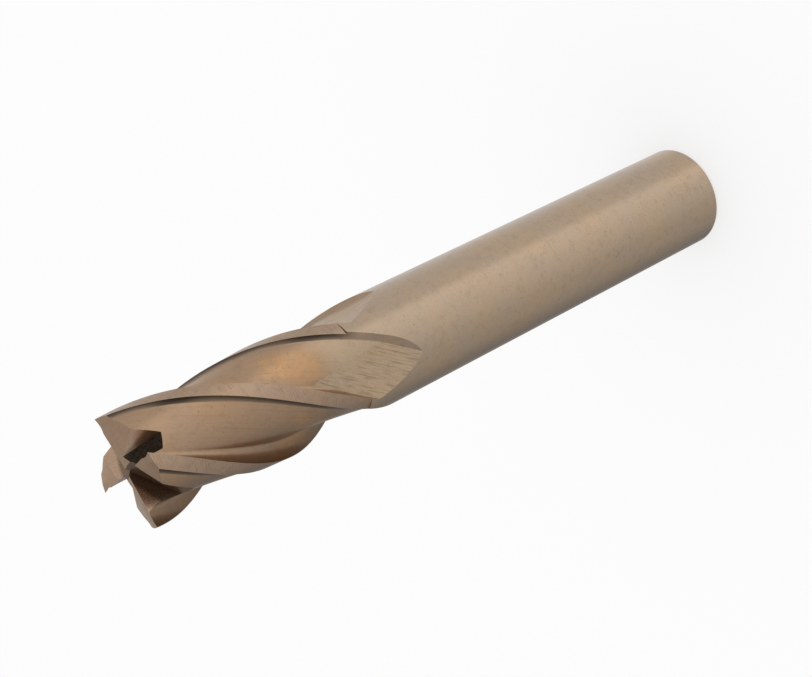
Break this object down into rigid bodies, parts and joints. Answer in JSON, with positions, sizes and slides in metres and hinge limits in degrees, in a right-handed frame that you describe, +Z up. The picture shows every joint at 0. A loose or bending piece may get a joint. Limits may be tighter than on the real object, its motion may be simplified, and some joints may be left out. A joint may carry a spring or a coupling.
{
  "type": "end mill",
  "caption": "Solid milling cutter with helical flutes, relieved end teeth with gashes, and a plain cylindrical shank.",
  "frame": {"origin": "centre of the shank's end face, on the mill's axis", "axes": "+Z up the axis from the shank to the cutting end, +X towards the outer corner of one long end tooth"},
  "size_m": [0.012, 0.012, 0.083],
  "materials": {
    "cobalt_steel": "ground, satin, warm straw-brown temper colour"
  },
  "bodies": {
    "root": {"end_mill": "cobalt_steel"}
  },
  "joints": []
}
